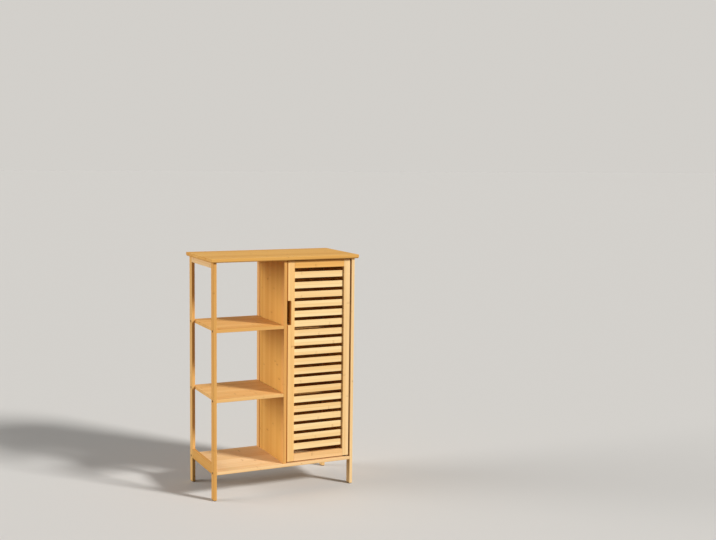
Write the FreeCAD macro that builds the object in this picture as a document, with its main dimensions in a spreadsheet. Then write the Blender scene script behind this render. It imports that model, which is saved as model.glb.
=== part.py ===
import FreeCAD, Part
import Sketcher
import os
import re

# Low bathroom cabinet in laminated bamboo: open shelves on the left, a slatted door on the right.
# Millimetres, +Z up. The front faces -Y, the open shelves stand at -X, and the origin lies on the
# floor under the middle of the top board.

doc = FreeCAD.newDocument("BathroomCabinet")

SIZES = {
    # Overall
    "overall_width": 580,
    "overall_depth": 300,
    "overall_height": 885,
    # Top board and how far it stands out over the posts
    "top_thickness": 14,
    "top_under_bevel": 3.5,
    "side_overhang": 12,
    "front_overhang": 12,
    "rear_overhang": 3,
    # Frame: posts and rails are sawn from one thickness of stock
    "frame_stock": 12,
    "post_depth": 28,
    "top_rail_height": 22,
    "bottom_rail_height": 35,
    "glide_height": 2,
    "glide_inset": 1,
    # Boards and bays, counted upwards from the floor
    "leg_clearance": 96,
    "bottom_thickness": 12,
    "shelf_thickness": 12,
    "divider_setback": 4,
    "bottom_bay_height": 254,
    "middle_bay_height": 243,
    "inner_bottom_bay_height": 230,
    "inner_middle_bay_height": 240,
    "inner_shelf_setback": 25,
    # Panels and the grooves that hold them
    "panel_thickness": 7,
    "panel_groove_depth": 6,
    "back_panel_thickness": 4,
    "back_groove_depth": 3,
    "groove_play": 0.5,
    # Door frame
    "door_recess": 6,
    "door_thickness": 15,
    "door_side_gap": 4,
    "door_top_gap": 4,
    "door_bottom_gap": 4.5,
    "handle_stile_width": 27,
    "pivot_stile_width": 25,
    "door_top_rail_height": 27,
    "door_bottom_rail_height": 27,
    # Slats
    "slat_height": 23.4,
    "slot_height": 12.45,
    "end_slot_height": 14.75,
    "slat_thickness": 6,
    "slat_recess": 7,
    "tenon_length": 8,
    # Finger notch in the handle stile
    "notch_length": 91,
    "notch_depth": 13,
    "notch_drop": 147,
    "notch_corner": 4,
    # Pivot pins and their flanged bushes
    "pin_radius": 2.5,
    "pin_embed": 25,
    "bush_wall": 1.5,
    "bush_depth": 8,
    "bush_floor": 1,
    "flange_width": 2.5,
    "thrust_clearance": 0.3,
    "running_clearance": 0.05,
    # Magnetic catch under the top board, and the plate it draws to
    "catch_offset": 14,
    "catch_length": 44,
    "catch_depth": 18,
    "catch_wall": 3,
    "catch_clearance": 0.3,
    "pole_length": 22,
    "pole_thickness": 1.2,
    "pole_stand_out": 0.5,
    "magnet_thickness": 5,
    "magnet_depth": 12,
    "strike_length": 36,
    "strike_height": 13,
    "strike_thickness": 1.5,
    "strike_drop": 1,
    # Dowels, bolts, nuts, screws and shelf pins
    "dowel_radius": 3,
    "dowel_length": 24,
    "dowel_short_end": 8,
    "post_dowel_inset": 8,
    "bolt_radius": 2.5,
    "bolt_head_radius": 4.5,
    "bolt_head_height": 3,
    "bolt_recess": 3.5,
    "bolt_tail": 9,
    "bolt_wall": 1.5,
    "socket_radius": 2.3,
    "socket_depth": 2,
    "nut_radius": 5,
    "nut_length": 9,
    "nut_inset": 28,
    "screw_radius": 1.75,
    "screw_head_radius": 3.5,
    "screw_head_depth": 2,
    "screw_socket_radius": 1.5,
    "screw_socket_depth": 1.2,
    "top_screw_bite": 9,
    "top_screw_spacing": 120,
    "catch_screw_inset": 6,
    "small_screw_radius": 1.25,
    "small_screw_head_radius": 2.5,
    "small_screw_head_depth": 1.2,
    "small_screw_socket_radius": 0.9,
    "small_screw_socket_depth": 0.8,
    "small_screw_bite": 8,
    "shelf_pin_radius": 2.5,
    "shelf_pin_embed": 5,
    "shelf_pin_length": 16,
    "shelf_pin_inset": 40,
    "shelf_pin_collar_radius": 4,
    "shelf_pin_collar_width": 1.5,
    # Holes for screws into the wall, in the rear top rail
    "wall_hole_radius": 2.5,
    "wall_hole_spacing": 128,
    # Finish and clearances
    "edge_ease": 1.2,
    "fit_clearance": 0.1,
    "end_play": 0.5,
    "shelf_play": 0.5,
    "cut_overrun": 1,
}

dims = doc.addObject("Spreadsheet::Sheet", "Dims")
for row, (alias, value) in enumerate(SIZES.items(), start=1):
    dims.set(f"A{row}", alias)
    dims.set(f"B{row}", str(value))
    dims.setAlias(f"B{row}", alias)
doc.recompute()

bodies = {}
corners = {}
groups = {}
subparts = []

EASE_LIMIT = 0.3  # of the wall that an eased edge lies on
TOUCHING = 1e-4

TURNS = {
    "+x": FreeCAD.Rotation(FreeCAD.Vector(0, 1, 0), 90),
    "-x": FreeCAD.Rotation(FreeCAD.Vector(0, 1, 0), -90),
    "+y": FreeCAD.Rotation(FreeCAD.Vector(1, 0, 0), -90),
    "-y": FreeCAD.Rotation(FreeCAD.Vector(1, 0, 0), 90),
    "+z": FreeCAD.Rotation(),
    "-z": FreeCAD.Rotation(FreeCAD.Vector(1, 0, 0), 180),
}


def bind(target, path, formula):
    """Ties a property to a formula in the sheet's sizes."""
    words = re.sub(r"[a-z_]+", lambda word: f"Dims.{word[0]}" if word[0] in SIZES else word[0], formula)
    target.setExpression(path, words)


def put(target, point, direction="+z", origin=("0", "0", "0")):
    """Places an object at a point, turned so that its own Z runs in the direction."""
    target.Placement = FreeCAD.Placement(FreeCAD.Vector(), TURNS[direction])
    for axis, place, start in zip("xyz", point, origin):
        bind(target, f"Placement.Base.{axis}", f"({place}) - ({start})")


def opposite(direction):
    """The way back along a direction."""
    return {"+": "-", "-": "+"}[direction[0]] + direction[1]


def along(point, direction, distance):
    """The point at a distance from another, as formulas."""
    moved = list(point)
    number = "xyz".index(direction[1])
    moved[number] = f"({moved[number]} {direction[0]} ({distance}))"
    return moved


def ease(label, size, smooth=()):
    """Rounds the edges that a piece has so far, but for the smooth ones, by no more than its walls allow."""
    body = bodies[label]
    square = body.Tip
    names = [f"Edge{number + 1}" for number in range(len(square.Shape.Edges))]
    rounding = body.newObject("PartDesign::Fillet", f"{label}_ease")
    rounding.Base = (square, [name for name in names if name not in smooth])
    walls = "; ".join(f"{EASE_LIMIT} * ({side})" for side in size)
    bind(rounding, "Radius", f"min(edge_ease; {walls})")


def edges_where(label, wanted):
    """Names of the edges, so far, whose box in the piece's own frame is a wanted one."""
    edges = enumerate(bodies[label].Tip.Shape.Edges, start=1)
    return [f"Edge{number}" for number, edge in edges if wanted(edge.BoundBox)]


def board(label, corner, size, eased=True):
    """A rectangular piece: outline sketched on its underside, padded up, all its edges eased."""
    body = doc.addObject("PartDesign::Body", label)
    body.Label = label
    put(body, corner)
    sketch = body.newObject("Sketcher::SketchObject", f"{label}_outline")
    ground = next(plane for plane in body.Origin.OriginFeatures if plane.Role == "XY_Plane")
    sketch.AttachmentSupport = (ground, [""])
    sketch.MapMode = "FlatFace"
    points = [FreeCAD.Vector(x, y, 0) for x, y in ((0, 0), (10, 0), (10, 10), (0, 10))]
    for start, end in zip(points, points[1:] + points[:1]):
        sketch.addGeometry(Part.LineSegment(start, end), False)
    for side in range(4):
        sketch.addConstraint(Sketcher.Constraint("Coincident", side, 2, (side + 1) % 4, 1))
        sketch.addConstraint(Sketcher.Constraint("Vertical" if side % 2 else "Horizontal", side))
    sketch.addConstraint(Sketcher.Constraint("Coincident", 0, 1, -1, 1))
    for side, name, formula in ((0, "length", size[0]), (1, "width", size[1])):
        number = sketch.addConstraint(Sketcher.Constraint("Distance", side, 10))
        sketch.renameConstraint(number, name)
        bind(sketch, f"Constraints.{name}", formula)
    pad = body.newObject("PartDesign::Pad", f"{label}_pad")
    pad.Profile = sketch
    bind(pad, "Length", size[2])
    doc.recompute()
    bodies[label] = body
    corners[label] = corner
    subparts.append(body)
    if eased:
        ease(label, size)


def cut_box(piece, corner, size):
    """A square-cornered groove, mortise or notch, given in the cabinet's frame."""
    box = bodies[piece].newObject("PartDesign::SubtractiveBox", f"{piece}_cut")
    put(box, corner, origin=corners[piece])
    for name, formula in zip(("Length", "Width", "Height"), size):
        bind(box, name, formula)
    return box


def drill(piece, direction, start, radius, depth):
    """A round hole from a start point in the cabinet's frame."""
    hole = bodies[piece].newObject("PartDesign::SubtractiveCylinder", f"{piece}_hole")
    put(hole, start, direction, corners[piece])
    bind(hole, "Radius", radius)
    bind(hole, "Height", depth)


def countersink(piece, direction, start, wide, narrow, depth):
    """A conical seat for a screw head, from the face inwards."""
    seat = bodies[piece].newObject("PartDesign::SubtractiveCone", f"{piece}_seat")
    put(seat, start, direction, corners[piece])
    bind(seat, "Radius1", wide)
    bind(seat, "Radius2", narrow)
    bind(seat, "Height", depth)


def cylinder(name, direction, start, radius, length):
    """A plain round rod, in the cabinet's frame."""
    rod = doc.addObject("Part::Cylinder", name)
    put(rod, start, direction)
    bind(rod, "Radius", radius)
    bind(rod, "Height", length)
    return rod


def hex_socket(name, direction, start, radius, depth):
    """The six-sided hole for a key, as a shape to cut away."""
    socket = doc.addObject("Part::Prism", name)
    socket.Polygon = 6
    put(socket, start, direction)
    bind(socket, "Circumradius", radius)
    bind(socket, "Height", depth)
    return socket


def fuse(name, shapes):
    """Several shapes joined to one solid."""
    joined = doc.addObject("Part::MultiFuse", name)
    joined.Shapes = shapes
    return joined


def cut(name, base, tool):
    """One shape less another."""
    left_over = doc.addObject("Part::Cut", name)
    left_over.Base = base
    left_over.Tool = tool
    return left_over


def keep(label, shape):
    """Names a finished shape as a sub-part."""
    shape.Label = label
    subparts.append(shape)


def dowel(group, direction, start, pieces):
    """A wooden dowel, and the blind holes for it in the pieces that it joins."""
    rod = cylinder(f"{group}_rod", direction, start, "dowel_radius", "dowel_length")
    groups.setdefault(group, []).append(rod)
    for piece in pieces:
        drill(piece, direction, along(start, opposite(direction), "end_play"),
              "dowel_radius + fit_clearance", "dowel_length + 2 * end_play")


def screw(group, direction, start, sizes, length, clamped, anchored):
    """A countersunk socket screw from its head's face, its seat in one piece and its hole in another."""
    shank, head, head_depth, socket_radius, socket_depth = sizes
    cone = doc.addObject("Part::Cone", f"{group}_head")
    put(cone, start, direction)
    bind(cone, "Radius1", head)
    bind(cone, "Radius2", shank)
    bind(cone, "Height", head_depth)
    tail = along(start, direction, head_depth)
    rod = cylinder(f"{group}_shank", direction, tail, shank, f"{length} - {head_depth}")
    socket = hex_socket(f"{group}_socket", direction, start, socket_radius, socket_depth)
    groups.setdefault(group, []).append(cut(f"{group}_screw", fuse(f"{group}_blank", [cone, rod]), socket))
    countersink(clamped, direction, start, f"{head} + fit_clearance", f"{shank} + fit_clearance", head_depth)
    for piece in (clamped, anchored):
        drill(piece, direction, tail, f"{shank} + fit_clearance", f"{length} - {head_depth} + end_play")


def compound(label):
    """Gathers the like pieces of a group into one sub-part of separate solids."""
    gathered = doc.addObject("Part::Compound", label)
    gathered.Links = groups[label]
    keep(label, gathered)


# Planes of the frame that the pieces share
left = "(side_overhang - overall_width / 2)"
right = "(overall_width / 2 - side_overhang)"
front = "(front_overhang - overall_depth / 2)"
rear = "(overall_depth / 2 - rear_overhang)"
under_top = "(overall_height - top_thickness)"
bay_floor = "(leg_clearance + bottom_thickness)"
bay_left = f"({left} + frame_stock)"
bay_right = f"({right} - frame_stock)"
bay_depth = f"({rear} - {front})"
divider_left = "(-frame_stock / 2)"
divider_right = "(frame_stock / 2)"
divider_front = f"({front} + divider_setback)"
under_top_rail = f"({under_top} - top_rail_height)"
over_bottom_rail = "(leg_clearance + bottom_rail_height)"
front_post_middle = f"({front} + post_depth / 2)"
rear_post_middle = f"({rear} - post_depth / 2)"
door_left = f"({divider_right} + door_side_gap)"
door_right = f"({bay_right} - door_side_gap)"
door_front = f"({front} + door_recess)"
door_back = f"({door_front} + door_thickness)"
door_bottom = f"({bay_floor} + door_bottom_gap)"
door_top = f"({under_top} - door_top_gap)"
door_middle = f"({door_front} + door_thickness / 2)"
pivot = (f"({door_right} - pivot_stile_width / 2)", door_middle)
bush_radius = "(pin_radius + running_clearance + bush_wall)"

# Boards that carry things: top, bottom and the two open shelves. The top is bevelled underneath at its
# front and at both sides, and left square towards the wall.
top_size = ("overall_width", "overall_depth", "top_thickness")
board("top_board", ("-overall_width / 2", "-overall_depth / 2", under_top), top_size, eased=False)
lower_edges = edges_where("top_board", lambda box: box.ZMax < TOUCHING
                          and box.YMin < dims.overall_depth - TOUCHING)
square_top = bodies["top_board"].Tip
under_bevel = bodies["top_board"].newObject("PartDesign::Chamfer", "top_board_under_bevel")
under_bevel.Base = (square_top, lower_edges)
bind(under_bevel, "Size", "top_under_bevel")
doc.recompute()
ease("top_board", top_size)
board("bottom_board", (bay_left, front, "leg_clearance"),
      (f"{bay_right} - {bay_left}", bay_depth, "bottom_thickness"))

lower_shelf_height = f"({bay_floor} + bottom_bay_height)"
shelf_heights = {
    "lower_open_shelf": lower_shelf_height,
    "upper_open_shelf": f"({lower_shelf_height} + shelf_thickness + middle_bay_height)",
}
for label, height in shelf_heights.items():
    board(label, (bay_left, divider_front, height),
          (f"{divider_left} - {bay_left}", f"{rear} - {divider_front}", "shelf_thickness"))

# Four corner posts, which are the legs too, each on its glide
post_places = {
    "front_left_post": (left, front),
    "rear_left_post": (left, f"({rear} - post_depth)"),
    "front_right_post": (bay_right, front),
    "rear_right_post": (bay_right, f"({rear} - post_depth)"),
}
for label, (x, y) in post_places.items():
    board(label, (x, y, "glide_height"), ("frame_stock", "post_depth", f"{under_top} - glide_height"))
    glide = doc.addObject("Part::Box", f"{label}_glide")
    put(glide, (f"{x} + glide_inset", f"{y} + glide_inset", "0"))
    bind(glide, "Length", "frame_stock - 2 * glide_inset")
    bind(glide, "Width", "post_depth - 2 * glide_inset")
    bind(glide, "Height", "glide_height")
    groups.setdefault("foot_glides", []).append(glide)
compound("foot_glides")

# Side rails between the posts, flush with their outer faces, doweled at both ends
rail_start = f"({front} + post_depth)"
rail_end = f"({rear} - post_depth)"
for side, x in (("left", left), ("right", bay_right)):
    heights = {"top": (under_top_rail, "top_rail_height"), "bottom": ("leg_clearance", "bottom_rail_height")}
    for level, (z, height) in heights.items():
        rail = f"{side}_{level}_rail"
        board(rail, (x, rail_start, z), ("frame_stock", f"{rail_end} - {rail_start}", height))
        for end, y in (("front", rail_start), ("rear", rail_end)):
            start = (f"{x} + frame_stock / 2", f"{y} - dowel_length / 2", f"{z} + {height} / 2")
            dowel("frame_dowels", "+y", start, (f"{end}_{side}_post", rail))

# Rear top rail, doweled into the rear posts, with holes for the screws into the wall
board("rear_top_rail", (bay_left, f"{rear} - frame_stock", under_top_rail),
      (f"{bay_right} - {bay_left}", "frame_stock", "top_rail_height"))
rail_middle = (f"{rear} - frame_stock / 2", f"{under_top_rail} + top_rail_height / 2")
dowel("frame_dowels", "+x", (f"{bay_left} - dowel_short_end", *rail_middle),
      ("rear_left_post", "rear_top_rail"))
dowel("frame_dowels", "-x", (f"{bay_right} + dowel_short_end", *rail_middle),
      ("rear_right_post", "rear_top_rail"))
open_bay_middle = f"(({bay_left} + {divider_left}) / 2)"
closed_bay_middle = f"(({bay_right} + {divider_right}) / 2)"
for sign in ("-", "+"):
    x = f"{open_bay_middle} {sign} wall_hole_spacing / 2"
    drill("rear_top_rail", "+y", (x, f"{rear} - frame_stock - cut_overrun", rail_middle[1]),
          "wall_hole_radius", "frame_stock + 2 * cut_overrun")

# Divider: two posts that stand on the bottom board, with a panel in their grooves
board("front_divider_post", (divider_left, divider_front, bay_floor),
      ("frame_stock", "post_depth", f"{under_top} - {bay_floor}"))
board("rear_divider_post", (divider_left, rail_end, bay_floor),
      ("frame_stock", "post_depth", f"{under_top_rail} - {bay_floor}"))
divider_groove = f"({divider_front} + post_depth - panel_groove_depth)"
groove_width = "(panel_thickness + 2 * fit_clearance)"
groove_reach = "panel_groove_depth + cut_overrun"
groove_rise = f"{under_top} - {bay_floor} + 2 * cut_overrun"
for post, y in (("front_divider_post", divider_groove), ("rear_divider_post", f"{rail_end} - cut_overrun")):
    cut_box(post, (f"-{groove_width} / 2", y, f"{bay_floor} - cut_overrun"),
            (groove_width, groove_reach, groove_rise))
panel_end = f"({rail_end} + panel_groove_depth - groove_play)"
board("divider_panel", ("-panel_thickness / 2", f"{divider_groove} + groove_play", bay_floor),
      ("panel_thickness", f"{panel_end} - {divider_groove} - groove_play", f"{under_top} - {bay_floor}"),
      eased=False)

# Right side panel, in grooves of the right posts and of the right rails
groove_left = f"({right} - frame_stock / 2 - {groove_width} / 2)"
groove_front = f"({rail_start} - panel_groove_depth)"
groove_foot = f"({over_bottom_rail} - panel_groove_depth)"
groove_head = f"({under_top_rail} + panel_groove_depth)"
for post, y in (("front_right_post", groove_front), ("rear_right_post", f"{rail_end} - cut_overrun")):
    cut_box(post, (groove_left, y, groove_foot),
            (groove_width, groove_reach, f"{groove_head} - {groove_foot}"))
for rail, z in (("right_bottom_rail", groove_foot), ("right_top_rail", f"{under_top_rail} - cut_overrun")):
    cut_box(rail, (groove_left, f"{rail_start} - cut_overrun", z),
            (groove_width, f"{rail_end} - {rail_start} + 2 * cut_overrun", groove_reach))
side_panel_face = f"({right} - frame_stock / 2 - panel_thickness / 2)"
board("right_side_panel", (side_panel_face, f"{groove_front} + groove_play", f"{groove_foot} + groove_play"),
      ("panel_thickness", f"{panel_end} - {groove_front} - groove_play",
       f"{groove_head} - {groove_foot} - 2 * groove_play"), eased=False)

# Back panel behind the door, in front of the rear top rail, in grooves of the two rear posts beside it
back_face = f"({rear} - frame_stock - back_panel_thickness)"
back_left = f"({divider_right} - back_groove_depth)"
back_right = f"({bay_right} + back_groove_depth)"
back_groove = ("back_groove_depth + cut_overrun", "back_panel_thickness + 2 * fit_clearance",
               f"{under_top} - {bay_floor}")
for post, x in (("rear_divider_post", back_left), ("rear_right_post", f"{bay_right} - cut_overrun")):
    cut_box(post, (x, f"{back_face} - fit_clearance", bay_floor), back_groove)
board("back_panel", (f"{back_left} + groove_play", back_face, bay_floor),
      (f"{back_right} - {back_left} - 2 * groove_play", "back_panel_thickness", f"{under_top} - {bay_floor}"),
      eased=False)

# Dowels of the divider posts, of the open shelves in them, and of the front posts in the top board
front_divider_middle = f"({divider_front} + post_depth / 2)"
for post, y in (("front_divider_post", front_divider_middle), ("rear_divider_post", rail_middle[0])):
    dowel("frame_dowels", "+z", ("0", y, f"{bay_floor} - dowel_short_end"), ("bottom_board", post))
    for shelf, height in shelf_heights.items():
        start = (f"{divider_left} + dowel_short_end", y, f"{height} + shelf_thickness / 2")
        dowel("frame_dowels", "-x", start, (post, shelf))
dowel("frame_dowels", "-z", ("0", rail_middle[0], f"{under_top_rail} + dowel_short_end"),
      ("rear_top_rail", "rear_divider_post"))
dowel("frame_dowels", "-z", ("0", front_divider_middle, f"{under_top} + dowel_short_end"),
      ("top_board", "front_divider_post"))
for post in ("front_left_post", "front_right_post"):
    x = post_places[post][0]
    start = (f"{x} + frame_stock / 2", f"{front} + post_dowel_inset", f"{under_top} + dowel_short_end")
    dowel("frame_dowels", "-z", start, ("top_board", post))
compound("frame_dowels")

# Bolts through the posts into barrel nuts: the bottom board on both sides, the open shelves on the left.
# The one beside the lower pivot passes behind its bush.
past_pivot = f"({door_middle} + {bush_radius} + bolt_wall + bolt_radius)"
planks = {"bottom_board": ("leg_clearance", "bottom_thickness")}
planks.update((shelf, (height, "shelf_thickness")) for shelf, height in shelf_heights.items())
bolts = [("right", "front", "bottom_board", past_pivot), ("right", "rear", "bottom_board", rear_post_middle)]
for plank in planks:
    bolts += [("left", "front", plank, front_post_middle), ("left", "rear", plank, rear_post_middle)]
shank_length = "(frame_stock - bolt_recess + nut_inset + bolt_tail)"
for side, end, plank, y in bolts:
    outer, inwards = (left, "+x") if side == "left" else (right, "-x")
    height, thickness = planks[plank]
    post = f"{end}_{side}_post"
    face = (outer, y, f"({height} + {thickness} / 2)")
    seat = along(face, inwards, "bolt_recess")
    head_face = along(face, inwards, "bolt_recess - bolt_head_height")
    head = cylinder(f"{post}_head", inwards, head_face, "bolt_head_radius", "bolt_head_height")
    shank = cylinder(f"{post}_shank", inwards, seat, "bolt_radius", shank_length)
    socket = hex_socket(f"{post}_socket", inwards, head_face, "socket_radius", "socket_depth")
    bolt = cut(f"{post}_bolt", fuse(f"{post}_blank", [head, shank]), socket)
    groups.setdefault("frame_bolts", []).append(bolt)
    nut_middle = along(face, inwards, "frame_stock + nut_inset")
    nut_blank = cylinder(f"{post}_nut_blank", "+z", along(nut_middle, "-z", "nut_length / 2"),
                         "nut_radius", "nut_length")
    nut_bore = cylinder(f"{post}_nut_bore", inwards, seat, "bolt_radius + fit_clearance", shank_length)
    groups.setdefault("barrel_nuts", []).append(cut(f"{post}_nut", nut_blank, nut_bore))
    drill(post, inwards, along(face, opposite(inwards), "cut_overrun"),
          "bolt_head_radius + fit_clearance", "bolt_recess + cut_overrun")
    for piece in (post, plank):
        drill(piece, inwards, seat, "bolt_radius + fit_clearance", f"{shank_length} + end_play")
    drill(plank, "+z", (nut_middle[0], y, f"{height} - cut_overrun"), "nut_radius + fit_clearance",
          f"{thickness} / 2 + nut_length / 2 + fit_clearance + cut_overrun")
compound("frame_bolts")
compound("barrel_nuts")

# Screws that hold the top board down, from the undersides of the left and rear top rails
top_screw_sizes = ("screw_radius", "screw_head_radius", "screw_head_depth",
                   "screw_socket_radius", "screw_socket_depth")
left_rail_middle = f"{left} + frame_stock / 2"
half_way = f"({rail_start} + {rail_end}) / 2"
screw_places = [(left_rail_middle, f"{half_way} {sign} top_screw_spacing / 2", "left_top_rail")
                for sign in ("-", "+")]
screw_places += [(x, rail_middle[0], "rear_top_rail") for x in (open_bay_middle, closed_bay_middle)]
for x, y, rail in screw_places:
    screw("top_screws", "+z", (x, y, under_top_rail), top_screw_sizes, "top_rail_height + top_screw_bite",
          rail, "top_board")
compound("top_screws")

# Shelves behind the door, each loose on four collared pins in the divider panel and the right side panel
inner_front = f"({door_back} + inner_shelf_setback)"
inner_rear = f"({back_face} - shelf_play)"
lower_inner_height = f"({bay_floor} + inner_bottom_bay_height)"
inner_heights = {
    "lower_inner_shelf": lower_inner_height,
    "upper_inner_shelf": f"({lower_inner_height} + shelf_thickness + inner_middle_bay_height)",
}
inner_width = f"({bay_right} - {divider_right} - 2 * shelf_play)"
pin_seats = {"divider_panel": ("panel_thickness / 2", "+x"), "right_side_panel": (side_panel_face, "-x")}
for shelf, height in inner_heights.items():
    board(shelf, (f"{divider_right} + shelf_play", inner_front, height),
          (inner_width, f"{inner_rear} - {inner_front}", "shelf_thickness"))
    for panel, (x, direction) in pin_seats.items():
        for y in (f"{inner_front} + shelf_pin_inset", f"{inner_rear} - shelf_pin_inset"):
            seat = (x, y, f"{height} - shelf_pin_radius")
            start = along(seat, opposite(direction), "shelf_pin_embed")
            rod = cylinder(f"{shelf}_rod", direction, start, "shelf_pin_radius", "shelf_pin_length")
            collar = cylinder(f"{shelf}_collar", direction, seat,
                              "shelf_pin_collar_radius", "shelf_pin_collar_width")
            groups.setdefault("shelf_pins", []).append(fuse(f"{shelf}_pin", [rod, collar]))
            drill(panel, direction, start,
                  "shelf_pin_radius + fit_clearance", "shelf_pin_embed + cut_overrun")
compound("shelf_pins")

# Door stiles. The handle stile has a finger notch, open to the divider, with rounded inner corners, which
# is cut before its edges are eased.
stile_height = f"{door_top} - {door_bottom}"
board("door_pivot_stile", (f"({door_right} - pivot_stile_width)", door_front, door_bottom),
      ("pivot_stile_width", "door_thickness", stile_height))
handle_stile_size = ("handle_stile_width", "door_thickness", stile_height)
board("door_handle_stile", (door_left, door_front, door_bottom), handle_stile_size, eased=False)
notch_bottom = f"({door_top} - notch_drop - notch_length)"
cut_box("door_handle_stile", (f"{door_left} - cut_overrun", f"{door_front} - cut_overrun", notch_bottom),
        ("notch_depth + cut_overrun", "door_thickness + 2 * cut_overrun", "notch_length"))
doc.recompute()


def in_the_notch(box):
    """Whether an edge runs from front to back inside the notch, away from the stile's own corners."""
    return box.XLength + box.ZLength < TOUCHING < box.XMin < dims.handle_stile_width - TOUCHING


inner_corners = edges_where("door_handle_stile", in_the_notch)
notched = bodies["door_handle_stile"].Tip
rounded = bodies["door_handle_stile"].newObject("PartDesign::Fillet", "door_handle_stile_notch_corners")
rounded.Base = (notched, inner_corners)
bind(rounded, "Radius", "notch_corner")
doc.recompute()
ease("door_handle_stile", handle_stile_size, smooth=edges_where("door_handle_stile", in_the_notch))

# Door rails between the stiles, doweled at the corners, and the field that they leave for the slats
field_left = f"({door_left} + handle_stile_width)"
field_right = f"({door_right} - pivot_stile_width)"
field_bottom = f"({door_bottom} + door_bottom_rail_height)"
field_top = f"({door_top} - door_top_rail_height)"
door_rails = {"door_bottom_rail": (door_bottom, "door_bottom_rail_height"),
              "door_top_rail": (field_top, "door_top_rail_height")}
for rail, (z, height) in door_rails.items():
    board(rail, (field_left, door_front, z), (f"{field_right} - {field_left}", "door_thickness", height))
    for third in (1, 2):
        level = f"{z} + {height} * {third} / 3"
        dowel("door_dowels", "+x", (f"{field_left} - dowel_short_end", door_middle, level),
              ("door_handle_stile", rail))
        dowel("door_dowels", "-x", (f"{field_right} + dowel_short_end", door_middle, level),
              ("door_pivot_stile", rail))
compound("door_dowels")

# Slats between the rails, their ends in mortises of the stiles. The lowest slot and the two at the top are
# wider than the others. Slats and slots share out the field, and fill it exactly at the sizes above.
SLAT_COUNT = 19
END_SLOTS = 3
slats_and_slots = (f"({SLAT_COUNT} * slat_height + {END_SLOTS} * end_slot_height"
                   f" + {SLAT_COUNT + 1 - END_SLOTS} * slot_height)")
field_share = f"(({field_top} - {field_bottom}) / {slats_and_slots})"
slat_rise = f"(slat_height * {field_share})"
end_slot_rise = f"(end_slot_height * {field_share})"
pitch = f"((slat_height + slot_height) * {field_share})"
slat_feet = [f"{field_bottom} + {end_slot_rise} + {number} * {pitch}" for number in range(SLAT_COUNT - 1)]
slat_feet.append(f"{field_top} - {end_slot_rise} - {slat_rise}")
slat_front = f"({door_front} + slat_recess)"
slat_left = f"({field_left} - tenon_length + groove_play)"
slat_right = f"({field_right} + tenon_length - groove_play)"
for number, foot in enumerate(slat_feet, start=1):
    board(f"door_slat_{number:02}", (slat_left, slat_front, foot),
          (f"{slat_right} - {slat_left}", "slat_thickness", slat_rise))
mortise_starts = {"door_handle_stile": f"{field_left} - tenon_length",
                  "door_pivot_stile": f"{field_right} - cut_overrun"}
mortise_size = ("tenon_length + cut_overrun", "slat_thickness + 2 * fit_clearance",
                f"{slat_rise} + 2 * fit_clearance")
for stile, x in mortise_starts.items():
    lowest, topmost = ((x, f"{slat_front} - fit_clearance", f"{foot} - fit_clearance")
                       for foot in (slat_feet[0], slat_feet[-1]))
    mortise = cut_box(stile, lowest, mortise_size)
    doc.recompute()
    row_of_mortises = bodies[stile].newObject("PartDesign::LinearPattern", f"{stile}_mortises")
    row_of_mortises.Originals = [mortise]
    upwards = next(axis for axis in bodies[stile].Origin.OriginFeatures if axis.Role == "Z_Axis")
    row_of_mortises.Direction = (upwards, [""])
    row_of_mortises.Occurrences = SLAT_COUNT - 1
    bind(row_of_mortises, "Length", f"{SLAT_COUNT - 2} * {pitch}")
    bodies[stile].Tip = row_of_mortises
    cut_box(stile, topmost, mortise_size)

# Pivots: a steel pin in each end of the pivot stile, turning in a flanged bush in each board.
# The door's weight rests on the flange of the lower bush.
pivots = {
    "upper": ("+z", under_top, door_top, "door_top_gap", "top_board"),
    "lower": ("-z", bay_floor, door_bottom, "door_bottom_gap", "bottom_board"),
}
for level, (direction, seat, stile_end, gap, plank) in pivots.items():
    flange_thickness = f"({gap} - thrust_clearance)"
    flange_face = along((*pivot, seat), opposite(direction), flange_thickness)
    flange = cylinder(f"{level}_flange", direction, flange_face,
                      f"{bush_radius} + flange_width", flange_thickness)
    barrel = cylinder(f"{level}_barrel", direction, flange_face,
                      bush_radius, f"{flange_thickness} + bush_depth")
    bore = cylinder(f"{level}_bore", direction, flange_face, "pin_radius + running_clearance",
                    f"{flange_thickness} + bush_depth - bush_floor")
    keep(f"{level}_pivot_bush", cut(f"{level}_bush", fuse(f"{level}_bush_blank", [flange, barrel]), bore))
    drill(plank, direction, (*pivot, seat), f"{bush_radius} + fit_clearance", "bush_depth + fit_clearance")
    pin_start = along((*pivot, stile_end), opposite(direction), "pin_embed")
    pin_length = f"pin_embed + {gap} + bush_depth - bush_floor - end_play"
    keep(f"{level}_pivot_pin", cylinder(f"{level}_pin", direction, pin_start, "pin_radius", pin_length))
    drill("door_pivot_stile", direction, along(pin_start, opposite(direction), "end_play"),
          "pin_radius + fit_clearance", "pin_embed + end_play + cut_overrun")

# Magnetic catch: strike plate on the door's top rail, housing with magnet and pole plates under the top
catch_left = f"({field_left} + catch_offset)"
catch_middle = f"({catch_left} + catch_length / 2)"
strike_bottom = f"({door_top} - strike_drop - strike_height)"
strike_middle = f"({strike_bottom} + strike_height / 2)"
board("strike_plate", (f"{catch_middle} - strike_length / 2", door_back, strike_bottom),
      ("strike_length", "strike_thickness", "strike_height"))
small_screw_sizes = ("small_screw_radius", "small_screw_head_radius", "small_screw_head_depth",
                     "small_screw_socket_radius", "small_screw_socket_depth")
screw("strike_screw", "-y", (catch_middle, f"{door_back} + strike_thickness", strike_middle),
      small_screw_sizes, "strike_thickness + small_screw_bite", "strike_plate", "door_top_rail")
keep("strike_screw", groups["strike_screw"][0])

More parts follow.
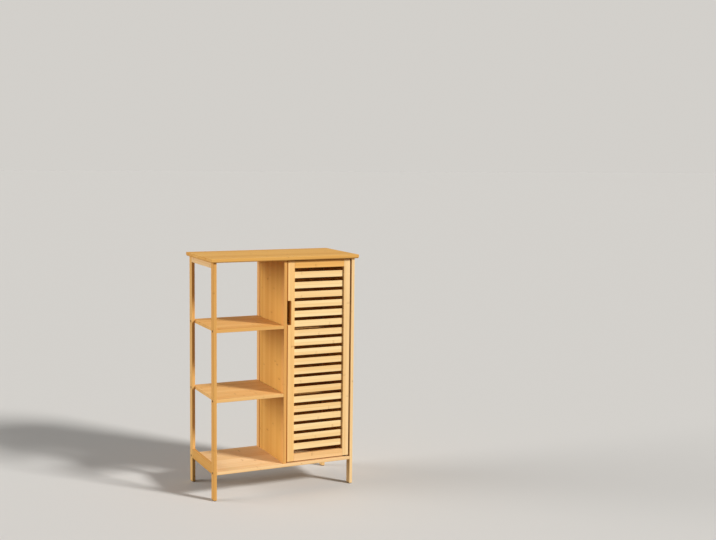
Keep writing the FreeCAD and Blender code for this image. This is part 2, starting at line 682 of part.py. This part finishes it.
pole_front = f"({door_back} + strike_thickness + catch_clearance)"
catch_front = f"({pole_front} + pole_stand_out)"
core_height = "(magnet_thickness + 2 * pole_thickness)"
core_left = f"({catch_middle} - pole_length / 2)"
core_bottom = f"({strike_middle} - {core_height} / 2)"
catch_bottom = f"({core_bottom} - catch_wall)"
catch_height = f"({under_top} - {catch_bottom})"
board("catch_housing", (catch_left, catch_front, catch_bottom), ("catch_length", "catch_depth", catch_height))
cut_box("catch_housing",
        (f"{core_left} - fit_clearance", f"{catch_front} - cut_overrun", f"{core_bottom} - fit_clearance"),
        ("pole_length + 2 * fit_clearance", "magnet_depth + cut_overrun",
         f"{core_height} + 2 * fit_clearance"))
core_end = f"({catch_front} + magnet_depth)"
board("catch_magnet", (core_left, catch_front, f"{core_bottom} + pole_thickness"),
      ("pole_length", f"{core_end} - {catch_front}", "magnet_thickness"), eased=False)
for z in (core_bottom, f"{core_bottom} + pole_thickness + magnet_thickness"):
    pole = doc.addObject("Part::Box", "catch_pole")
    put(pole, (core_left, pole_front, z))
    bind(pole, "Length", "pole_length")
    bind(pole, "Width", f"{core_end} - {pole_front}")
    bind(pole, "Height", "pole_thickness")
    groups.setdefault("catch_pole_plates", []).append(pole)
compound("catch_pole_plates")
for x in (f"{catch_left} + catch_screw_inset", f"{catch_left} + catch_length - catch_screw_inset"):
    screw("catch_screws", "+z", (x, f"{catch_front} + catch_depth / 2", catch_bottom), small_screw_sizes,
          f"{catch_height} + small_screw_bite", "catch_housing", "top_board")
compound("catch_screws")

doc.recompute()

# Every feature must have been made, and every cut must have taken wood away
for item in doc.Objects:
    if "Invalid" in item.State or "Error" in item.State:
        raise RuntimeError(f"{item.Name} failed: {item.State}")
    if "Subtractive" in item.TypeId and item.Shape.Volume > item.BaseFeature.Shape.Volume - TOUCHING:
        raise RuntimeError(f"{item.Name} cuts nothing")
for subpart in subparts:
    if subpart.Shape.isNull() or not subpart.Shape.isValid():
        raise RuntimeError(f"{subpart.Label} has no valid shape")

os.makedirs("parts", exist_ok=True)
for subpart in subparts:
    subpart.Shape.exportStep(f"parts/{subpart.Label}.step")
print(f"{len(subparts)} sub-parts, {SLAT_COUNT} slats")
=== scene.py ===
import math

import bmesh
import bpy
from mathutils import Matrix, Vector


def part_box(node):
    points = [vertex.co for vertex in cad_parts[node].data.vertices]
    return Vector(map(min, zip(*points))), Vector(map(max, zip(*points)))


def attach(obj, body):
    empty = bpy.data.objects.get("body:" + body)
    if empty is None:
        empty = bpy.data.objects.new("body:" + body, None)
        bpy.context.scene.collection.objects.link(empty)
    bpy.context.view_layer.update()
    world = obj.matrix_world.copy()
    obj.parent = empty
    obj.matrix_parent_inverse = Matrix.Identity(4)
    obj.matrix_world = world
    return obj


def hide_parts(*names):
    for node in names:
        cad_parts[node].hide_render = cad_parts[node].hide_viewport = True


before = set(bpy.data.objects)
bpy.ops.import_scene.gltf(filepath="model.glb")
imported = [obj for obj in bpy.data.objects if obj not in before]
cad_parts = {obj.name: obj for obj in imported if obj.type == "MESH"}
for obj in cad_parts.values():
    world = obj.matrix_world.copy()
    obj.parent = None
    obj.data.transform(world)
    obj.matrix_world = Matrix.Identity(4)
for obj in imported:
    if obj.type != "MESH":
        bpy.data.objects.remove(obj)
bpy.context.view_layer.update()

# Corner posts, which run down to the floor as legs. Each is sawn from laminated bamboo with its strips
# upright, planed, eased along its edges and finished with a satin lacquer. The left pair is deeper in tone
# and the front right post paler, partly the wood's own tone and partly painted light: painted half-shade
# on the left pair and painted sunlight and sheen on the front right post.


def colour(code):
    """A colour written as sRGB hex, turned to linear for a shader."""
    levels = [int(code[start:start + 2], 16) / 255 for start in (1, 3, 5)]
    return [v / 12.92 if v <= 0.04045 else ((v + 0.055) / 1.055) ** 2.4 for v in levels] + [1.0]


def add(tree, kind, inputs=None, **settings):
    """Adds a node to a tree, with its settings, and fills or links its inputs, by name or by number.
    In a map range, 1 and 2 are the limits of what comes in, and 3 and 4 what they turn into."""
    made = tree.nodes.new(kind)
    for name, value in settings.items():
        setattr(made, name, value)
    for name, value in (inputs or {}).items():
        if isinstance(value, bpy.types.NodeSocket):
            tree.links.new(value, made.inputs[name])
        else:
            made.inputs[name].default_value = value
    return made


def bare_material(name):
    """A new material with an empty node tree."""
    material = bpy.data.materials.new(name)
    material.use_nodes = True
    material.node_tree.nodes.clear()
    return material, material.node_tree


def dress(node, material):
    """Gives a node of the frame its one material."""
    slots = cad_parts[node].data.materials
    slots.clear()
    slots.append(material)


def laminated_bamboo(node, run, strip_width, strip_thickness, tone, liveliness=0.5):
    """Bamboo strips glued side by side and in layers, then planed: each strip has its own tone and fibres,
    and crosses a knuckle of the cane now and then. A satin lacquer lies over them. run names the axes along
    the strips, across their width and through their layers, and liveliness says how much one strip differs
    from the next."""
    material, tree = bare_material(f"bamboo_{node}")
    place = add(tree, "ShaderNodeTexCoord")
    sides = add(tree, "ShaderNodeSeparateXYZ", {0: place.outputs["Object"]})
    along, across, through = (sides.outputs[axis.upper()] for axis in run)

    # Strips counted from the piece's lowest corner. The planer took 0.8 mm off the outer ones.
    planed = 0.0008
    low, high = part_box(node)
    counts, widths = [], []
    for axis, socket, wanted in ((run[1], across, strip_width), (run[2], through, strip_thickness)):
        side = "xyz".index(axis)
        glued_up = high[side] - low[side] + 2 * planed
        width = glued_up / max(1, round(glued_up / wanted))
        counted = add(tree, "ShaderNodeMath", {0: socket, 1: 1 / width, 2: (planed - low[side]) / width},
                      operation="MULTIPLY_ADD")
        counts.append(counted.outputs[0])
        widths.append(width)
    whole = [add(tree, "ShaderNodeMath", {0: count}, operation="FLOOR").outputs[0] for count in counts]

    # The letters of the piece's name give it strips of its own
    seed_step = 0.37
    seed = sum(map(ord, node)) * seed_step
    strip = add(tree, "ShaderNodeCombineXYZ", {0: whole[0], 1: whole[1], 2: seed})
    chance = add(tree, "ShaderNodeTexWhiteNoise", {"Vector": strip.outputs[0]}, noise_dimensions="3D")
    draws = add(tree, "ShaderNodeSeparateColor", {0: chance.outputs["Color"]})

    # Fibre bundles 0.9 mm wide and 70 mm long, and streaks of 5 mm by 320 mm that still show in the render.
    # Every strip reads another part of the pattern. Canes of one batch lie side by side in bands of 60 mm.
    fibre_length, fibre_width, streak_length, streak_width = 0.070, 0.0009, 0.320, 0.0050
    band_length, band_width, farthest_shift = 1.5, 0.06, 90.0
    shift = add(tree, "ShaderNodeVectorMath", {0: chance.outputs["Color"], "Scale": farthest_shift},
                operation="SCALE")
    cane = add(tree, "ShaderNodeCombineXYZ", {0: along, 1: across, 2: through})
    patterns = []
    for length, width in ((fibre_length, fibre_width), (streak_length, streak_width)):
        stretched = add(tree, "ShaderNodeVectorMath",
                        {0: cane.outputs[0], 1: (1 / length, 1 / width, 1 / width), 2: shift.outputs[0]},
                        operation="MULTIPLY_ADD")
        patterns.append(add(tree, "ShaderNodeTexNoise",
                            {"Vector": stretched.outputs[0], "Scale": 1.0, "Detail": 2.0, "Roughness": 0.5}))
    fibre, streak = (pattern.outputs["Fac"] for pattern in patterns)
    batch = add(tree, "ShaderNodeVectorMath",
                {0: cane.outputs[0], 1: (1 / band_length, 1 / band_width, 1 / band_width)},
                operation="MULTIPLY")
    band = add(tree, "ShaderNodeTexNoise",
               {"Vector": batch.outputs[0], "W": seed, "Scale": 1.0, "Detail": 1.0}, noise_dimensions="4D")

    # Knuckles 340 to 660 mm apart: a wavy scar 2 mm wide right across the strip, with a stain that fades
    # over 10 mm on one side of it and 4 mm on the other, weaker in some streaks than in others
    closest, widest, waviness, steepness = 0.34, 0.66, 0.008, 2.5
    scar_core, scar_edge, stain_length, stain_strength = 0.0006, 0.0024, 0.010, 0.45
    weak_streak, full_streak, weak_share, faintest, strongest = 0.36, 0.60, 0.45, 0.05, 0.65
    knuckle_brown = "#8E5320"
    spacing = add(tree, "ShaderNodeMapRange", {"Value": draws.outputs[0], 3: closest, 4: widest}).outputs[0]
    wave = add(tree, "ShaderNodeMath", {0: streak, 1: waviness, 2: along},
               operation="MULTIPLY_ADD").outputs[0]
    knuckles = add(tree, "ShaderNodeMath", {0: wave, 1: spacing}, operation="DIVIDE").outputs[0]
    turn = add(tree, "ShaderNodeMath", {0: knuckles, 1: draws.outputs[1]}, operation="ADD").outputs[0]
    cycle = add(tree, "ShaderNodeMath", {0: turn}, operation="FRACT").outputs[0]
    past = add(tree, "ShaderNodeMath", {0: cycle, 1: 0.5}, operation="SUBTRACT").outputs[0]
    upward = add(tree, "ShaderNodeMath", {0: past, 1: spacing}, operation="MULTIPLY").outputs[0]
    downward = add(tree, "ShaderNodeMath", {0: upward, 1: -steepness}, operation="MULTIPLY").outputs[0]
    gap = add(tree, "ShaderNodeMath", {0: upward, 1: downward}, operation="MAXIMUM").outputs[0]
    scar = add(tree, "ShaderNodeMapRange", {"Value": gap, 1: scar_core, 2: scar_edge, 3: 1.0, 4: 0.0},
               interpolation_type="SMOOTHSTEP").outputs[0]
    stain = add(tree, "ShaderNodeMapRange",
                {"Value": gap, 1: 0.0, 2: stain_length, 3: stain_strength, 4: 0.0},
                interpolation_type="SMOOTHSTEP").outputs[0]
    knuckle = add(tree, "ShaderNodeMath", {0: scar, 1: stain}, operation="MAXIMUM").outputs[0]
    broken = add(tree, "ShaderNodeMapRange",
                 {"Value": streak, 1: weak_streak, 2: full_streak, 3: weak_share, 4: 1.0}).outputs[0]
    strength = add(tree, "ShaderNodeMapRange",
                   {"Value": draws.outputs[2], 3: faintest, 4: strongest}).outputs[0]
    patchy = add(tree, "ShaderNodeMath", {0: knuckle, 1: broken}, operation="MULTIPLY").outputs[0]
    mark = add(tree, "ShaderNodeMath", {0: patchy, 1: strength}, operation="MULTIPLY").outputs[0]

    # Tone: part from the strip and its batch, the rest from streaks and fibres. Deep strips are browner,
    # pale ones creamier than the piece as a whole.
    fibre_share, batch_share = 0.35, 0.35
    grain_low, grain_high, band_low, band_high = 0.37, 0.63, 0.35, 0.65
    pale_gain, deep_gain = (1.08, 1.18, 1.36), (0.86, 0.76, 0.60)
    grain = add(tree, "ShaderNodeMix", {0: fibre_share, 2: streak, 3: fibre}).outputs[0]
    spread = add(tree, "ShaderNodeMapRange", {"Value": grain, 1: grain_low, 2: grain_high}).outputs[0]
    mixed = add(tree, "ShaderNodeMix", {0: liveliness, 2: spread, 3: chance.outputs["Value"]}).outputs[0]
    wide = add(tree, "ShaderNodeMapRange",
               {"Value": band.outputs["Fac"], 1: band_low, 2: band_high}).outputs[0]
    toned = add(tree, "ShaderNodeMix", {0: batch_share, 2: mixed, 3: wide}).outputs[0]
    whole_piece = colour(tone)[:3]
    pale = [min(1.0, level * gain) for level, gain in zip(whole_piece, pale_gain)] + [1.0]
    deep = [level * gain for level, gain in zip(whole_piece, deep_gain)] + [1.0]
    wood = add(tree, "ShaderNodeMix", {0: toned, 6: pale, 7: deep}, data_type="RGBA").outputs[2]
    marked = add(tree, "ShaderNodeMix", {0: mark, 6: wood, 7: colour(knuckle_brown)},
                 data_type="RGBA").outputs[2]

    # Sawn ends, sanded before they are lacquered, show the fibre bundles cut through as brown dots
    end_from, end_full, dot_from, dot_full, dot_strength = 0.5, 0.9, 0.42, 0.58, 0.3
    dot_brown = "#9A6028"
    facing = add(tree, "ShaderNodeSeparateXYZ", {0: place.outputs["Normal"]}).outputs[run[0].upper()]
    endwise = add(tree, "ShaderNodeMath", {0: facing}, operation="ABSOLUTE").outputs[0]
    dots = add(tree, "ShaderNodeMapRange",
               {"Value": fibre, 1: dot_from, 2: dot_full, 3: 0.0, 4: dot_strength}).outputs[0]
    sawn = add(tree, "ShaderNodeMapRange",
               {"Value": endwise, 1: end_from, 2: end_full, 3: 0.0, 4: dots}).outputs[0]
    ends = add(tree, "ShaderNodeMix", {0: sawn, 6: marked, 7: colour(dot_brown)}, data_type="RGBA").outputs[2]

    # Glue lines between strips, drawn 0.4 mm wide so that they show
    glue_width, glue_strength, glue_brown = 0.0004, 0.28, "#8A5524"
    line = None
    for count, width in zip(counts, widths):
        edge = add(tree, "ShaderNodeMath", {0: count, 1: 0.5}, operation="PINGPONG").outputs[0]
        drawn = add(tree, "ShaderNodeMapRange",
                    {"Value": edge, 1: 0.0, 2: glue_width / width, 3: glue_strength, 4: 0.0})
        line = drawn.outputs[0] if line is None else add(
            tree, "ShaderNodeMath", {0: line, 1: drawn.outputs[0]}, operation="MAXIMUM").outputs[0]
    glued = add(tree, "ShaderNodeMix", {0: line, 6: ends, 7: colour(glue_brown)}, data_type="RGBA").outputs[2]

    # Satin lacquer: the grain shows a little in its surface, which is duller over some fibres than others
    brightest, dullest = 0.56, 0.70
    gloss = add(tree, "ShaderNodeMapRange", {"Value": fibre, 3: brightest, 4: dullest}).outputs[0]
    relief = add(tree, "ShaderNodeBump", {"Height": grain, "Strength": 0.25, "Distance": 0.0003})
    shader = add(tree, "ShaderNodeBsdfPrincipled", {
        "Base Color": glued, "Roughness": gloss, "IOR": 1.45, "Normal": relief.outputs[0],
        "Specular IOR Level": 0.08})
    add(tree, "ShaderNodeOutputMaterial", {"Surface": shader.outputs[0]})
    dress(node, material)


# Tones with painted light in them: the left pair deepened for painted half-shade, the rear left one made a
# little creamier for the whiter light on its left face, the front right one paled for painted sunlight and
# sheen.
post_tones_and_light = {"front_left_post": "#DAA45B", "rear_left_post": "#DAA862",
              "front_right_post": "#F6D096", "rear_right_post": "#E6B775"}
for post, tone in post_tones_and_light.items():
    laminated_bamboo(post, "zyx", strip_width=0.014, strip_thickness=0.006, tone=tone)

# Foot glides: pads of dark nylon, moulded with round corners, an eased rim and a sunk middle, and pressed
# under the four legs so that they slide on tiles.


def moulded_nylon():
    """Nylon dyed dark brown through and through, with the fine matt grain of the mould's spark-eroded wall.
    The grain is drawn 0.6 mm wide so that it shows."""
    grain_size, cloud_size, brightest, dullest = 0.0006, 0.008, 0.40, 0.62
    material, tree = bare_material("moulded_nylon")
    place = add(tree, "ShaderNodeTexCoord").outputs["Object"]
    grain = add(tree, "ShaderNodeTexNoise",
                {"Vector": place, "Scale": 1 / grain_size, "Detail": 2.0, "Roughness": 0.6}).outputs["Fac"]
    cloud = add(tree, "ShaderNodeTexNoise", {"Vector": place, "Scale": 1 / cloud_size, "Detail": 1.0})
    tint = add(tree, "ShaderNodeMix", {0: cloud.outputs["Fac"], 6: colour("#3A2A20"), 7: colour("#4A372B")},
               data_type="RGBA")
    gloss = add(tree, "ShaderNodeMapRange", {"Value": grain, 3: brightest, 4: dullest})
    relief = add(tree, "ShaderNodeBump", {"Height": grain, "Strength": 0.3, "Distance": 0.0001})
    shader = add(tree, "ShaderNodeBsdfPrincipled", {
        "Base Color": tint.outputs[2], "Roughness": gloss.outputs[0], "IOR": 1.53,
        "Normal": relief.outputs[0]})
    add(tree, "ShaderNodeOutputMaterial", {"Surface": shader.outputs[0]})
    return material


brown_nylon = moulded_nylon()
pad_inset, pad_corner, pad_rim, sunk_border, sunk_depth = 0.001, 0.0035, 0.0005, 0.0018, 0.0006
corner_segments, rim_segments, facing_down = 6, 3, -0.99
pads = bmesh.new()
for post in post_tones_and_light:
    low, high = (Vector(corner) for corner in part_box(post))
    middle = Vector(((low.x + high.x) / 2, (low.y + high.y) / 2, low.z / 2))
    spread = (high.x - low.x - 2 * pad_inset, high.y - low.y - 2 * pad_inset, low.z)
    blank = bmesh.ops.create_cube(pads, size=1.0, matrix=Matrix.LocRotScale(middle, None, spread))["verts"]
    edges = dict.fromkeys(edge for corner in blank for edge in corner.link_edges)
    upright_edges = [edge for edge in edges if abs(edge.verts[0].co.z - edge.verts[1].co.z) > low.z / 2]
    bmesh.ops.bevel(pads, geom=upright_edges, offset=pad_corner, offset_type="OFFSET", affect="EDGES",
                    segments=corner_segments, profile=0.5, material=-1)
pads.normal_update()
rims = [edge for sole in pads.faces if sole.normal.z < facing_down for edge in sole.edges]
bmesh.ops.bevel(pads, geom=rims, offset=pad_rim, offset_type="OFFSET", affect="EDGES",
                segments=rim_segments, profile=0.5, material=-1)
pads.normal_update()
for sole in [face for face in pads.faces if face.normal.z < facing_down]:
    bmesh.ops.inset_region(pads, faces=[sole], thickness=sunk_border, use_even_offset=True)
    bmesh.ops.inset_region(pads, faces=[sole], thickness=sunk_depth, depth=-sunk_depth, use_even_offset=True)
bmesh.ops.recalc_face_normals(pads, faces=pads.faces)
pad_mesh = bpy.data.meshes.new("glide_pads")
pads.to_mesh(pad_mesh)
pads.free()
glide_pads = bpy.data.objects.new("glide_pads", pad_mesh)
bpy.context.scene.collection.objects.link(glide_pads)
pad_mesh.materials.append(brown_nylon)
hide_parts("foot_glides")
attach(glide_pads, "cabinet")

# Side rails between the posts and the long rail across the back: the posts' own stock, ripped to width
# and doweled in, with their strips running lengthways.
plain_tone = "#E2B070"
# The left top rail is toned creamier, painted light: the whiter light that falls on it from the left. The
# left bottom rail is toned deeper.
for rail, tone in (("left_top_rail", "#DBB27B"), ("left_bottom_rail", "#D29C53"),
                   ("right_top_rail", plain_tone), ("right_bottom_rail", plain_tone)):
    laminated_bamboo(rail, "yzx", strip_width=0.012, strip_thickness=0.006, tone=tone)
laminated_bamboo("rear_top_rail", "xzy", strip_width=0.011, strip_thickness=0.006, tone=plain_tone)

# Divider and panels: two upright posts with a thin panel in their grooves, a panel like it in the right
# side and a thinner one at the back. The strips are wide and upright.
for post, tone in (("front_divider_post", "#DFA55B"), ("rear_divider_post", plain_tone)):
    laminated_bamboo(post, "zyx", strip_width=0.014, strip_thickness=0.006, tone=tone)
for panel, run, thickness, tone in (("divider_panel", "zyx", 0.007, "#DDA756"),
                                    ("right_side_panel", "zyx", 0.007, "#DDA756"),
                                    ("back_panel", "zxy", 0.004, "#E4B05E")):
    laminated_bamboo(panel, run, strip_width=0.020, strip_thickness=thickness, tone=tone, liveliness=0.85)

# Bottom board and the two open shelves: three-ply bamboo board, the strips of its faces running from
# side to side, cut to length and bolted between the posts.
# The bottom board is toned paler than the shelves: painted sheen of sunlight along its front edge.
for plank, tone in (("bottom_board", "#F5CE97"), ("lower_open_shelf", "#E9B772"),
                    ("upper_open_shelf", "#E5B168")):
    laminated_bamboo(plank, "xyz", strip_width=0.020, strip_thickness=0.004, tone=tone, liveliness=0.6)

# Dowels: beech pegs, turned and cut to length, glued into the rails, posts and boards and into the corners
# of the door frame.


def turned_beech():
    """Beech, turned and left bare: a pinkish straw colour full of small darker flecks some 1.2 mm apart,
    and quite matt."""
    fleck_spacing, cloud_size, fleck_core, fleck_edge, fleck_strength = 0.0012, 0.004, 0.1, 0.3, 0.5
    material, tree = bare_material("turned_beech")
    place = add(tree, "ShaderNodeTexCoord").outputs["Object"]
    flecks = add(tree, "ShaderNodeTexVoronoi", {"Vector": place, "Scale": 1 / fleck_spacing})
    cloud = add(tree, "ShaderNodeTexNoise", {"Vector": place, "Scale": 1 / cloud_size, "Detail": 2.0})
    fleck = add(tree, "ShaderNodeMapRange",
                {"Value": flecks.outputs["Distance"], 1: fleck_core, 2: fleck_edge,
                 3: fleck_strength, 4: 0.0})
    wood = add(tree, "ShaderNodeMix", {0: cloud.outputs["Fac"], 6: colour("#E3C39A"), 7: colour("#D0A677")},
               data_type="RGBA")
    marked = add(tree, "ShaderNodeMix", {0: fleck.outputs[0], 6: wood.outputs[2], 7: colour("#A87A4C")},
                 data_type="RGBA")
    shader = add(tree, "ShaderNodeBsdfPrincipled",
                 {"Base Color": marked.outputs[2], "Roughness": 0.7, "IOR": 1.45})
    add(tree, "ShaderNodeOutputMaterial", {"Surface": shader.outputs[0]})
    return material


bare_beech = turned_beech()
for pegs in ("frame_dowels", "door_dowels"):
    dress(pegs, bare_beech)

# Frame bolts: socket-head machine screws of blackened steel, sunk into the outer faces of the posts, each
# in a barrel nut that is let into the board behind.


def blackened_steel():
    """Steel blackened hot in a salt bath and oiled: nearly black, with a soft brown cast in patches of 3 mm
    and a dull shine."""
    patch_size, brightest, dullest = 0.003, 0.35, 0.55
    material, tree = bare_material("blackened_steel")
    place = add(tree, "ShaderNodeTexCoord").outputs["Object"]
    patch = add(tree, "ShaderNodeTexNoise",
                {"Vector": place, "Scale": 1 / patch_size, "Detail": 3.0}).outputs["Fac"]
    tint = add(tree, "ShaderNodeMix", {0: patch, 6: colour("#2A2320"), 7: colour("#4A3A30")},
               data_type="RGBA")
    gloss = add(tree, "ShaderNodeMapRange", {"Value": patch, 3: brightest, 4: dullest})
    shader = add(tree, "ShaderNodeBsdfPrincipled", {
        "Base Color": tint.outputs[2], "Metallic": 0.7, "Roughness": gloss.outputs[0]})
    add(tree, "ShaderNodeOutputMaterial", {"Surface": shader.outputs[0]})
    return material


def zinc_plated_steel():
    """Steel, plated with zinc and passivated clear: bright grey with faint blue and straw-coloured clouds
    some 5 mm across, and a satin shine from barrel plating, whose grain is drawn 0.5 mm wide."""
    cloud_size, grain_size, brightest, dullest = 0.005, 0.0005, 0.24, 0.42
    material, tree = bare_material("zinc_plated_steel")
    place = add(tree, "ShaderNodeTexCoord").outputs["Object"]
    cloud = add(tree, "ShaderNodeTexNoise", {"Vector": place, "Scale": 1 / cloud_size, "Detail": 1.0})
    grain = add(tree, "ShaderNodeTexNoise",
                {"Vector": place, "Scale": 1 / grain_size, "Detail": 2.0}).outputs["Fac"]
    tint = add(tree, "ShaderNodeMix", {0: cloud.outputs["Fac"], 6: colour("#BFC6CE"), 7: colour("#CFCBBE")},
               data_type="RGBA")
    gloss = add(tree, "ShaderNodeMapRange", {"Value": grain, 3: brightest, 4: dullest})
    relief = add(tree, "ShaderNodeBump", {"Height": grain, "Strength": 0.15, "Distance": 0.0001})
    shader = add(tree, "ShaderNodeBsdfPrincipled", {
        "Base Color": tint.outputs[2], "Metallic": 1.0, "Roughness": gloss.outputs[0],
        "Normal": relief.outputs[0]})
    add(tree, "ShaderNodeOutputMaterial", {"Surface": shader.outputs[0]})
    return material


dress("frame_bolts", blackened_steel())
bright_zinc = zinc_plated_steel()
dress("barrel_nuts", bright_zinc)

# Top board: the same three-ply board in one wide piece, its underside bevelled at the front and ends. It
# is screwed down through the rails from below.
laminated_bamboo("top_board", "xyz", strip_width=0.020, strip_thickness=0.0047, tone="#E0A959",
                 liveliness=0.7)
dress("top_screws", bright_zinc)

# Shelves behind the door: two loose boards of the same kind, each on four collared pins of plated steel that
# push into the divider and the side.
for plank in ("lower_inner_shelf", "upper_inner_shelf"):
    laminated_bamboo(plank, "xyz", strip_width=0.020, strip_thickness=0.004, tone="#E8B673", liveliness=0.6)
dress("shelf_pins", bright_zinc)

# Door: two stiles and two rails, mortised and doweled round nineteen slats, all in a paler and calmer
# bamboo than the carcass. A notch in the left stile takes the fingers.
for bar, run, tone in (("door_handle_stile", "zxy", "#F3C17A"), ("door_pivot_stile", "zxy", "#F4CC90"),
                       ("door_top_rail", "xzy", "#EDB566"), ("door_bottom_rail", "xzy", "#F1C184")):
    laminated_bamboo(bar, run, strip_width=0.0135, strip_thickness=0.0075, tone=tone, liveliness=0.35)
for slat in (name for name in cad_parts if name.startswith("door_slat_")):
    laminated_bamboo(slat, "xzy", strip_width=0.0117, strip_thickness=0.006, tone="#FBD497")

# Door pivots: a pin of plated steel at each end of the right stile, which turns in a flanged bush of moulded
# nylon in the board above or below it.
for pin in ("upper_pivot_pin", "lower_pivot_pin"):
    dress(pin, bright_zinc)
for bush in ("upper_pivot_bush", "lower_pivot_bush"):
    dress(bush, brown_nylon)

# Magnetic catch under the top board: a nylon housing that holds a ferrite block between two steel plates,
# and the plated strike on the back of the door that it pulls on.


def sintered_ferrite():
    """Hard ferrite, pressed from powder and fired: charcoal grey and matt, with specks 0.4 mm across."""
    speck_size = 0.0004
    material, tree = bare_material("sintered_ferrite")
    place = add(tree, "ShaderNodeTexCoord").outputs["Object"]
    specks = add(tree, "ShaderNodeTexNoise",
                 {"Vector": place, "Scale": 1 / speck_size, "Detail": 2.0}).outputs["Fac"]
    tint = add(tree, "ShaderNodeMix", {0: specks, 6: colour("#232326"), 7: colour("#3D3D41")},
               data_type="RGBA")
    relief = add(tree, "ShaderNodeBump", {"Height": specks, "Strength": 0.4, "Distance": 0.0001})
    shader = add(tree, "ShaderNodeBsdfPrincipled", {
        "Base Color": tint.outputs[2], "Roughness": 0.7, "Normal": relief.outputs[0]})
    add(tree, "ShaderNodeOutputMaterial", {"Surface": shader.outputs[0]})
    return material


dress("catch_housing", brown_nylon)
dress("catch_magnet", sintered_ferrite())
for plated in ("catch_pole_plates", "catch_screws", "strike_plate", "strike_screw"):
    dress(plated, bright_zinc)

# Studio: a pale floor that runs out of sight, a broad main light from the right and front, a weaker and
# softer one from the left, and even light from all round.
floor_reach, floor_tint, bounce_tint = 60.0, colour("#DAD7D2"), colour("#A39C93")
floor_mesh = bpy.data.meshes.new("floor")
sheet = bmesh.new()
bmesh.ops.create_grid(sheet, x_segments=1, y_segments=1, size=floor_reach)
sheet.to_mesh(floor_mesh)
sheet.free()
floor = bpy.data.objects.new("floor", floor_mesh)
bpy.context.scene.collection.objects.link(floor)
paper, paper_tree = bare_material("floor_paper")


def looked_at(tree):
    """1 for what the camera sees, straight or in a mirror or through glass, and 0 for light on the object."""
    ray = add(tree, "ShaderNodeLightPath")
    mirrored = add(tree, "ShaderNodeMath", {0: ray.outputs["Is Camera Ray"], 1: ray.outputs["Is Glossy Ray"]},
                   operation="MAXIMUM")
    return add(tree, "ShaderNodeMath", {0: mirrored.outputs[0], 1: ray.outputs["Is Transmission Ray"]},
               operation="MAXIMUM").outputs[0]


shade = add(paper_tree, "ShaderNodeMix", {0: looked_at(paper_tree), 6: bounce_tint, 7: floor_tint},
            data_type="RGBA")
matt = add(paper_tree, "ShaderNodeBsdfDiffuse", {"Color": shade.outputs[2]})
add(paper_tree, "ShaderNodeOutputMaterial", {"Surface": matt.outputs[0]})
floor_mesh.materials.append(paper)

air_strength = 0.20
floor_light = air_strength
for name, towards, strength, softness in (
        ("main_light", (0.526, -0.699, 0.485), 3.55, 10),
        ("left_light", (-0.92, 0.36, 0.20), 2.80, 40)):
    lamp = bpy.data.lights.new(name, "SUN")
    lamp.energy = strength
    lamp.angle = math.radians(softness)
    stand = bpy.data.objects.new(name, lamp)
    stand.rotation_euler = (-Vector(towards)).to_track_quat("-Z", "Y").to_euler()
    bpy.context.scene.collection.objects.link(stand)
    floor_light += strength * Vector(towards).normalized().z / math.pi

# The background is as bright as the far floor, so that no horizon shows
world = bpy.data.worlds.new("studio_air")
bpy.context.scene.world = world
world.use_nodes = True
air = world.node_tree
air.nodes.clear()
glow = add(air, "ShaderNodeBackground", {"Color": (1.0, 1.0, 1.0, 1.0), "Strength": air_strength})
backdrop = add(air, "ShaderNodeBackground", {"Color": floor_tint, "Strength": floor_light})
seen = add(air, "ShaderNodeMixShader", {0: looked_at(air), 1: glow.outputs[0], 2: backdrop.outputs[0]})
add(air, "ShaderNodeOutputWorld", {"Surface": seen.outputs[0]})

# Camera at the photograph's place: left of the front, just above the height of a sitting person's eyes, and
# tilted down a little. Its angles and lens were solved on the cabinet's straight edges.
lens_data = bpy.data.cameras.new("camera")
lens_data.sensor_width = 36.0
lens_data.lens = 54.98
camera = bpy.data.objects.new("camera", lens_data)
bpy.context.scene.collection.objects.link(camera)
bpy.context.scene.camera = camera
eye = Vector((-1.5076, -3.8257, 1.2682))
yaw, pitch, roll = (math.radians(angle) for angle in (26.012, -6.163, 0.731))
ahead = Vector((math.sin(yaw) * math.cos(pitch), math.cos(yaw) * math.cos(pitch), math.sin(pitch)))
level = Vector((math.cos(yaw), -math.sin(yaw), 0))
upright = level.cross(ahead)
right = level * math.cos(roll) + upright * math.sin(roll)
above = upright * math.cos(roll) - level * math.sin(roll)
camera.matrix_world = Matrix.Translation(eye) @ Matrix((right, above, -ahead)).transposed().to_4x4()

bpy.context.scene.view_settings.view_transform = "Standard"
